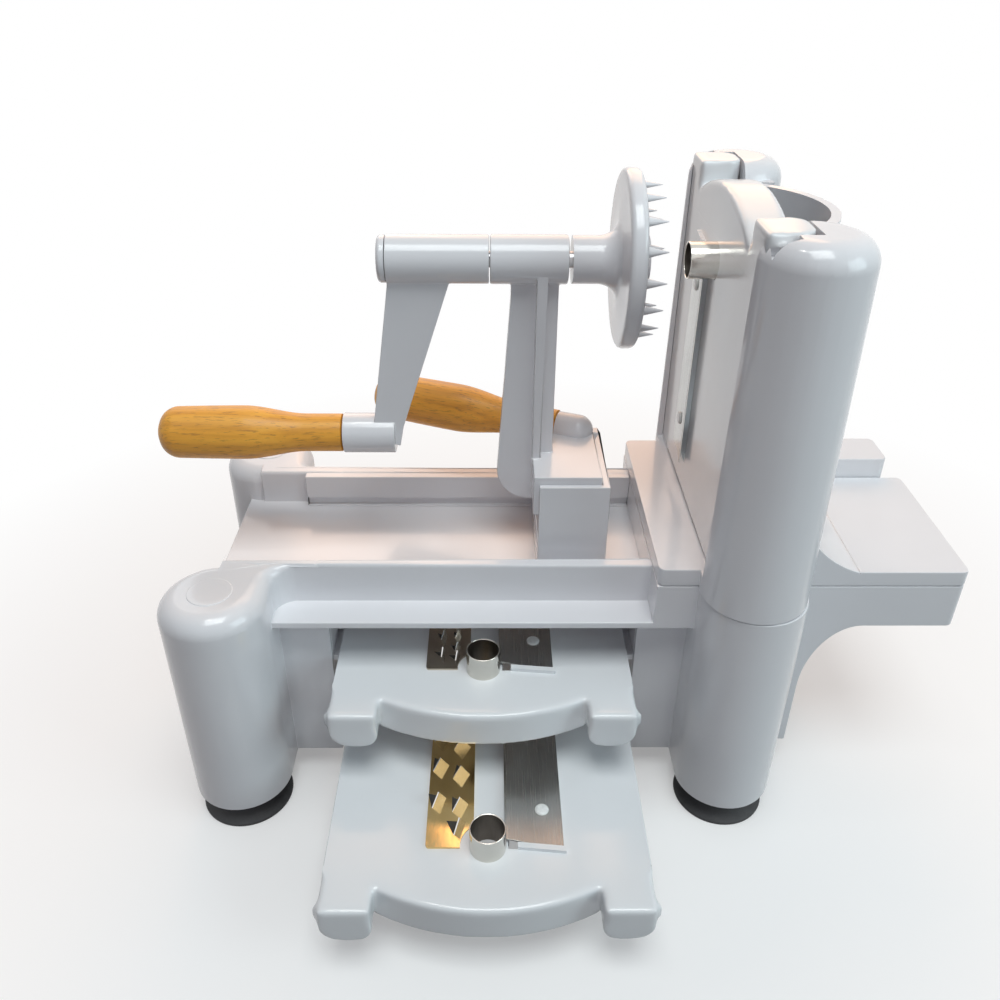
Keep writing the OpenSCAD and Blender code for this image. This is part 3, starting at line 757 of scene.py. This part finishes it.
wheel_outline = [(0, 13), (3.0, 13), (3.0, 0), (8.8, 0), (8.8, 9.5)]
for k in range(1, 13):
    angle = math.pi / 2 * k / 12
    wheel_outline.append((8.8 + 6.4 * (1 - math.cos(angle)), 9.5 + 7.4 * math.sin(angle)))
wheel_outline += [(22.0, 17.4), (29.0, 17.3), (31.2, 17.4), (32.1, 18.0), (32.5, 19.2), (32.5, 21.6),
                  (32.2, 22.7), (31.5, 23.3), (30.6, 23.4), (30.0, 23.0), (29.7, 22.2), (29.2, 21.7),
                  (28.4, 21.5), (9.6, 21.5), (9.4, 27.6), (9.1, 28.0), (8.2, 28.0), (7.9, 27.6), (7.7, 21.5),
                  (0, 21.5)]
wheel_body = lathe(wheel_outline, 128)
wheel_x, spike_foot = 33, 20.9  # the spikes start inside the disc
to_wheel = Matrix.Translation(home + Vector((wheel_x, 0, AXIS_Z)) * MM) @ Matrix.Rotation(math.pi / 2, 4, "Y")
for spike_set in (outer_spikes, inner_spikes):
    spike_set.transform(Matrix.Translation((0, 0, spike_foot * MM)))
wheel = placed(joined([wheel_body, outer_spikes, inner_spikes], "wheel"), to_wheel)
hand_over(wheel, "spiked_wheel_moulding", ["spiked_wheel"], plastic, 50)

# %% [markdown]
# ## Punched tooth strips
# Each strip is thin polished steel. Its teeth are small triangles cut on two
# sides and bent upright, so that each leaves a hole of its own shape, drawn as a
# near-black patch of painted shade. They slit the vegetable before the blade takes
# it: every tooth stands at its own radius from the core ring and lies along its
# circle. That is a rule, so a node tree works out place and turn from the number
# of the tooth.

# %% One tooth
def tooth_mesh(base, high):
    """Upright triangle on the bend line, and a near-black patch of painted shade where its hole is."""
    half, thin = base / 2, 0.25 * MM
    # the last three points make a flat near-black patch just above the strip where the hole is: painted shade
    hole = 0.02 * MM
    places = [(half, thin, 0), (-half, thin, 0), (0, thin, high),
              (half, -thin, 0), (-half, -thin, 0), (0, -thin, high),
              (-half, -thin, hole), (0, -high, hole), (half, -thin, hole)]
    faces = [(0, 1, 2), (4, 3, 5), (3, 0, 2, 5), (1, 4, 5, 2), (1, 0, 3, 4), (6, 7, 8)]
    mesh = bpy.data.meshes.new("tooth")
    mesh.from_pydata(places, [], faces)
    flag = mesh.attributes.new("painted_hole_shade", "BOOLEAN", "FACE")
    flag.data[5].value = True
    return mesh

# %% Teeth at even steps of radius
def tooth_tree():
    tree, given, result = new_tree("tooth_row", [
        ("Tooth", "NodeSocketObject"), ("Count", "NodeSocketInt"), ("First", "NodeSocketFloat"),
        ("Step", "NodeSocketFloat"), ("Near", "NodeSocketFloat"), ("Far", "NodeSocketFloat"),
        ("Steel", "NodeSocketMaterial"), ("Painted Shade", "NodeSocketMaterial")])
    link = tree.links.new

    def maths(operation, *values):
        node = tree.nodes.new("ShaderNodeMath")
        node.operation = operation
        for socket, value in zip(node.inputs, values):
            if isinstance(value, (int, float)):
                socket.default_value = value
            else:
                link(value, socket)
        return node.outputs[0]

    row = tree.nodes.new("GeometryNodeMeshLine")
    number = tree.nodes.new("GeometryNodeInputIndex").outputs[0]
    link(given.outputs["Count"], row.inputs["Count"])
    radius = maths("MULTIPLY_ADD", number, given.outputs["Step"], given.outputs["First"])
    even = maths("SUBTRACT", 1.0, maths("MODULO", number, 2.0))
    outside = maths("MULTIPLY", even, maths("MINIMUM", number, 1.0))
    across = maths("MULTIPLY_ADD", outside, maths("SUBTRACT", given.outputs["Far"], given.outputs["Near"]),
                   given.outputs["Near"])
    square = maths("SUBTRACT", maths("MULTIPLY", radius, radius), maths("MULTIPLY", across, across))
    along = maths("MULTIPLY", maths("SQRT", square), -1.0)
    spot = tree.nodes.new("ShaderNodeCombineXYZ")
    link(across, spot.inputs["X"])
    link(along, spot.inputs["Y"])
    turn = tree.nodes.new("ShaderNodeCombineXYZ")
    link(maths("ADD", maths("ARCTAN2", along, across), math.pi / 2), turn.inputs["Z"])
    move = tree.nodes.new("GeometryNodeSetPosition")
    look = tree.nodes.new("GeometryNodeObjectInfo")
    euler = tree.nodes.new("FunctionNodeEulerToRotation")
    put = tree.nodes.new("GeometryNodeInstanceOnPoints")
    real = tree.nodes.new("GeometryNodeRealizeInstances")
    paint = tree.nodes.new("GeometryNodeSetMaterial")
    darken = tree.nodes.new("GeometryNodeSetMaterial")
    flag = tree.nodes.new("GeometryNodeInputNamedAttribute")
    flag.data_type = "BOOLEAN"
    flag.inputs["Name"].default_value = "painted_hole_shade"
    link(row.outputs["Mesh"], move.inputs["Geometry"])
    link(spot.outputs["Vector"], move.inputs["Position"])
    link(move.outputs["Geometry"], put.inputs["Points"])
    link(given.outputs["Tooth"], look.inputs["Object"])
    link(look.outputs["Geometry"], put.inputs["Instance"])
    link(turn.outputs["Vector"], euler.inputs["Euler"])
    link(euler.outputs["Rotation"], put.inputs["Rotation"])
    link(put.outputs["Instances"], real.inputs["Geometry"])
    link(real.outputs["Geometry"], paint.inputs["Geometry"])
    link(given.outputs["Steel"], paint.inputs["Material"])
    link(paint.outputs["Geometry"], darken.inputs["Geometry"])
    # flagged faces take the near-black finish: painted shade in the holes
    link(flag.outputs["Attribute"], darken.inputs["Selection"])
    link(given.outputs["Painted Shade"], darken.inputs["Material"])
    link(darken.outputs["Geometry"], result.inputs["Geometry"])
    return tree


tooth_row = tooth_tree()

# %% The two strips
STRIP_TOP = 0.85  # top of a strip above its plate


def strip_sheet():
    """Flat strip with rounded corners, hollowed round the core ring."""
    outline = []
    for cx, cy, first in ((22.0, -89.0, 270), (22.0, -0.6, 0)):
        for k in range(7):
            angle = math.radians(first + 90 * k / 6)
            outline.append((cx + 1.4 * math.cos(angle), cy + 1.4 * math.sin(angle)))
    for k in range(13):
        angle = math.radians(4.4 - 63.4 * k / 12)
        outline.append((10.5 * math.cos(angle), 10.5 * math.sin(angle)))
    for k in range(7):
        angle = math.radians(180 + 90 * k / 6)
        outline.append((6.8 + 1.4 * math.cos(angle), -89.0 + 1.4 * math.sin(angle)))
    bm = bmesh.new()
    low = [bm.verts.new((x * MM, y * MM, 0.05 * MM)) for x, y in outline]
    high = [bm.verts.new((x * MM, y * MM, STRIP_TOP * MM)) for x, y in outline]
    bm.faces.new(high)
    bm.faces.new(low[::-1])
    for k in range(len(outline)):
        j = (k + 1) % len(outline)
        bm.faces.new((low[k], low[j], high[j], high[k]))
    bmesh.ops.recalc_face_normals(bm, faces=bm.faces)
    return made_mesh(bm, "strip_sheet")


near, last_radius = 10.8, 84  # distance of the near column, and where the teeth end
# radius of the first tooth, step of radius, base and height of a tooth, distance of the far column
# the upper strip takes the darker steel, which is painted dark reflection
strips = (("upper", 12.2, 3.15, 3.2, 4.2, 16.8, grey_strip_painted_reflection),
          ("lower", 13.2, 7.15, 7.2, 6.3, 19.2, strip_steel))
for which, first, step, base, high, far, steel in strips:
    pattern_tooth = linked(tooth_mesh(base * MM, high * MM), "tooth.draft")
    teeth = run_tree(tooth_row, which + "_teeth", {
        "Tooth": pattern_tooth, "Count": int((last_radius - first) / step) + 1,
        "First": first * MM, "Step": step * MM,
        "Near": near * MM, "Far": far * MM, "Steel": tooth_steel, "Painted Shade": hole_painted_shade})
    bpy.data.objects.remove(pattern_tooth)
    teeth.transform(Matrix.Translation((0, 0, STRIP_TOP * MM)))
    sheet = strip_sheet()
    sheet.materials.append(steel)
    holder = linked(sheet, which + ".draft")
    other = linked(teeth, which + "_teeth.draft")
    bpy.ops.object.select_all(action="DESELECT")
    other.select_set(True)
    holder.select_set(True)
    bpy.context.view_layer.objects.active = holder
    bpy.ops.object.join()
    strip = holder.data.copy()
    bpy.data.objects.remove(holder)
    strip.transform(plate_places[which])
    hand_over(strip, which + "_punched_strip", [which + "_tooth_strip"], None, 20)

# %% [markdown]
# ## Studs and feet
# Two melted studs hold each blade, and four rubber cups stand on the worktop.
# A node tree with a grid of points places copies of one turned shape. The caps on
# the left legs are made in the same way.

# %% Copies on points
def copies_tree():
    tree, given, result = new_tree("copies_on_points", [
        ("Shape", "NodeSocketObject"), ("Step X", "NodeSocketFloat"), ("Step Y", "NodeSocketFloat"),
        ("Columns", "NodeSocketInt"), ("Rows", "NodeSocketInt"), ("Finish", "NodeSocketMaterial")])
    link = tree.links.new
    grid = tree.nodes.new("GeometryNodeMeshGrid")
    look = tree.nodes.new("GeometryNodeObjectInfo")
    put = tree.nodes.new("GeometryNodeInstanceOnPoints")
    real = tree.nodes.new("GeometryNodeRealizeInstances")
    paint = tree.nodes.new("GeometryNodeSetMaterial")
    link(given.outputs["Step X"], grid.inputs["Size X"])
    link(given.outputs["Step Y"], grid.inputs["Size Y"])
    link(given.outputs["Columns"], grid.inputs["Vertices X"])
    link(given.outputs["Rows"], grid.inputs["Vertices Y"])
    link(given.outputs["Shape"], look.inputs["Object"])
    link(grid.outputs["Mesh"], put.inputs["Points"])
    link(look.outputs["Geometry"], put.inputs["Instance"])
    link(put.outputs["Instances"], real.inputs["Geometry"])
    link(real.outputs["Geometry"], paint.inputs["Geometry"])
    link(given.outputs["Finish"], paint.inputs["Material"])
    link(paint.outputs["Geometry"], result.inputs["Geometry"])
    return tree


copies = copies_tree()


def repeated(profile, steps, name, step_x, step_y, columns, rows, finish):
    shape = linked(lathe(profile, steps), name + "_shape.draft")
    mesh = run_tree(copies, name, {"Shape": shape, "Step X": step_x * MM, "Step Y": step_y * MM,
                                   "Columns": columns, "Rows": rows, "Finish": finish})
    bpy.data.objects.remove(shape)
    return mesh

# %% Studs of the blades
stud = [(0, -4.0), (1.5, -4.0), (1.5, 1.05), (2.7, 1.05), (2.75, 1.3), (2.5, 1.65), (1.9, 1.9), (1.0, 1.86),
        (0, 1.8)]
stud_u, stud_v, stud_gap = -21, -46, 60  # middle between a blade's two studs, and their distance
for which, place in plate_places.items():
    studs = repeated(stud, 32, which + "_studs", 0, stud_gap, 1, 2, stud_plastic)
    studs.transform(place @ Matrix.Translation((stud_u * MM, stud_v * MM, 0)))
    hand_over(studs, which + "_studs", [which + "_rivets"], None, 60)

# %% Rubber feet
foot = [(0, 7), (7, 5), (14, 1.6), (18, 0), (19, 0), (19.2, 0.5), (19, 1.2), (12.5, 6), (9.6, 9), (9, 11.6),
        (8.6, 12), (3, 12), (3, 20.4), (2.4, 21), (0, 21)]
feet = repeated(rounded(foot, 0.8, 3), 64, "feet", 2 * LEG_X, 2 * LEG_Y, 2, 2, rubber)
feet.transform(Matrix.Translation(home))
hand_over(feet, "rubber_feet", ["suction_feet"], None, 40)

# %% Leg caps
cap = rounded([(0, 0), (8.6, 0), (8.6, 1.7), (6.5, 1.72), (0, 1.62)], 0.35, 4)
caps = repeated(cap, 72, "caps", 0, 2 * LEG_Y, 1, 2, plastic)
cap_z = DECK - 1.4
caps.transform(Matrix.Translation(home + Vector((-LEG_X, 0, cap_z)) * MM))
hand_over(caps, "leg_cap_discs", ["leg_caps"], None, 40)

# %% [markdown]
# ## Metal inside
# The shaft, the bolts and the bushings hardly show. Their solids stay as they
# are and only take their finish.

# %% Finishes on the kept solids
for node, finish in (("drive_shaft", rod_steel), ("grip_bolt", rod_steel), ("push_stud", rod_steel),
                     ("tower_screws", rod_steel), ("shaft_bushings", bronze)):
    data = frame["nodes"][node].data
    data.materials.clear()
    data.materials.append(finish)
print("kept solids painted")

# %% [markdown]
# ## Floor and light
# The machine stands on a pale floor that fades to white. For light that bounces
# back onto the machine the same floor counts as grey, so that walls keep darker
# than tops. A large soft lamp above and before it models the forms, a cool one at
# the right lights the right flanks of the columns, and a weak one opens the front.
# Behind, a warm lamp tints the bed and a neutral one opens the back. A very small
# one sets crisp highlights.

# %% What the camera sees
def seen_ray(tree):
    """1 for rays from the camera, also by way of a reflection or through glass; 0 for bounced light."""
    path = add(tree, "ShaderNodeLightPath")
    seen = add(tree, "ShaderNodeMath", {"operation": "MAXIMUM"})
    seen_too = add(tree, "ShaderNodeMath", {"operation": "MAXIMUM"})
    tree.links.new(path.outputs["Is Camera Ray"], seen.inputs[0])
    tree.links.new(path.outputs["Is Glossy Ray"], seen.inputs[1])
    tree.links.new(seen.outputs[0], seen_too.inputs[0])
    tree.links.new(path.outputs["Is Transmission Ray"], seen_too.inputs[1])
    return seen_too.outputs[0]


def mixed_surface(tree, factor, first, second, end):
    both = add(tree, "ShaderNodeMixShader")
    tree.links.new(factor, both.inputs["Fac"])
    tree.links.new(first, both.inputs[1])
    tree.links.new(second, both.inputs[2])
    tree.links.new(both.outputs["Shader"], tree.nodes[end].inputs["Surface"])

# %% Floor
floor_mesh = bpy.data.meshes.new("floor")
floor_mesh.from_pydata([(-30, -30, 0), (30, -30, 0), (30, 30, 0), (-30, 30, 0)], [], [(0, 1, 2, 3)])
floor = linked(floor_mesh, "floor")
pale_floor, tree, shader = new_finish("pale_floor")
shader.inputs["Roughness"].default_value = 0.8
where = add(tree, "ShaderNodeTexCoord")
reach = add(tree, "ShaderNodeVectorMath", {"operation": "LENGTH"})
tree.links.new(where.outputs["Object"], reach.inputs[0])
fade = spread(tree, reach.outputs["Value"], 0.3, 1.0, 0.12, 0.42)
seen = seen_ray(tree)
paint = colours(tree, seen, [(0.0, (0.17, 0.17, 0.17)), (1.0, (0.9, 0.9, 0.9))])
tree.links.new(paint, shader.inputs["Base Color"])
share = add(tree, "ShaderNodeMath", {"operation": "MULTIPLY"})
tree.links.new(fade, share.inputs[0])
tree.links.new(seen, share.inputs[1])
glow = add(tree, "ShaderNodeEmission", Color=(1, 1, 1, 1), Strength=1.0)
mixed_surface(tree, share.outputs[0], shader.outputs["BSDF"], glow.outputs["Emission"], "Material Output")
floor_mesh.materials.append(pale_floor)

# %% World
world = bpy.data.worlds.new("studio")
bpy.context.scene.world = world
world.use_nodes = True
tree = world.node_tree
back = tree.nodes["Background"]
back.inputs["Color"].default_value = (0.85, 0.86, 1.0, 1)
back.inputs["Strength"].default_value = 0.12
bright = add(tree, "ShaderNodeBackground", Color=(1, 1, 1, 1), Strength=1.0)
mixed_surface(tree, seen_ray(tree), back.outputs["Background"], bright.outputs["Background"], "World Output")

# %% Lamps
def soft_lamp(name, place, size, power, colour, target=(0, 0, 0.1)):
    """Square lamp; place and target are in metres from the middle between the legs."""
    place, target = home + Vector(place), home + Vector(target)
    data = bpy.data.lights.new(name, "AREA")
    data.shape = "SQUARE"
    data.size = size
    data.energy = power
    data.color = colour
    lamp = bpy.data.objects.new(name, data)
    bpy.context.scene.collection.objects.link(lamp)
    facing = (target - place).to_track_quat("-Z", "Y").to_matrix().to_4x4()
    lamp.matrix_world = Matrix.Translation(place) @ facing


soft_lamp("overhead", (0.1, -0.6, 2.0), 1.0, 22.0, (0.95, 1.0, 1.0), (0.02, 0, 0.1))
soft_lamp("right_window", (1.1, -0.55, 0.65), 0.7, 5.4, (0.78, 0.96, 1.0))
soft_lamp("front_fill", (-0.3, -1.3, 0.8), 0.8, 0.5, (0.92, 0.86, 1.0))
soft_lamp("warm_back", (0.06, 0.9, 0.8), 0.8, 4.4, (1.0, 0.52, 0.24))
soft_lamp("back_fill", (-0.5, 1.3, 0.9), 0.8, 2.0, (0.95, 0.97, 1.0))
soft_lamp("sparkle", (-0.2, -0.1, 1.1), 0.05, 0.35, (1.0, 0.97, 0.92))
print("floor, world and six lamps")
